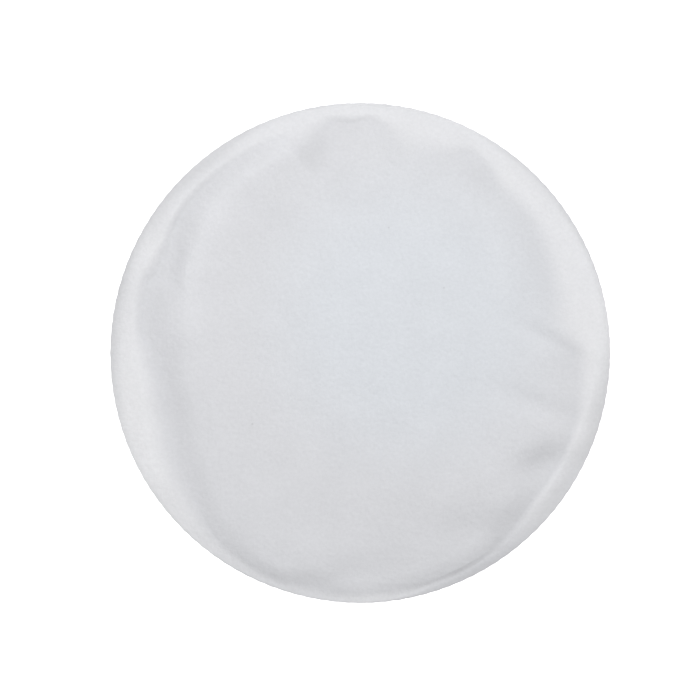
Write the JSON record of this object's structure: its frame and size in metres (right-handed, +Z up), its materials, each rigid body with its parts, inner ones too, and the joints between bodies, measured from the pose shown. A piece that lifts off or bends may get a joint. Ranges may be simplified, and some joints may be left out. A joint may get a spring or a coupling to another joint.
{
  "type": "pakol",
  "caption": "Soft round felt cap with a flat, wide crown sewn round its padded rim, over a thick band made by rolling up the cap's own side wall.",
  "frame": {"origin": "middle of the flat ring on which the rolled brim rests, on the cap's axis", "axes": "+Z up through the middle of the crown, +Y to the back and +X to the wearer's left"},
  "size_m": [0.27, 0.27, 0.0504],
  "materials": {
    "crown_felt": "matte brushed felt, white with a cool cast, slightly whiter where the rim is doubled",
    "underside_felt": "matte brushed felt, white with a cool cast",
    "brim_felt": "matte brushed felt, white"
  },
  "bodies": {
    "root": {"crown_top": "crown_felt", "crown_underside": "underside_felt", "rolled_brim": "brim_felt"}
  },
  "joints": []
}
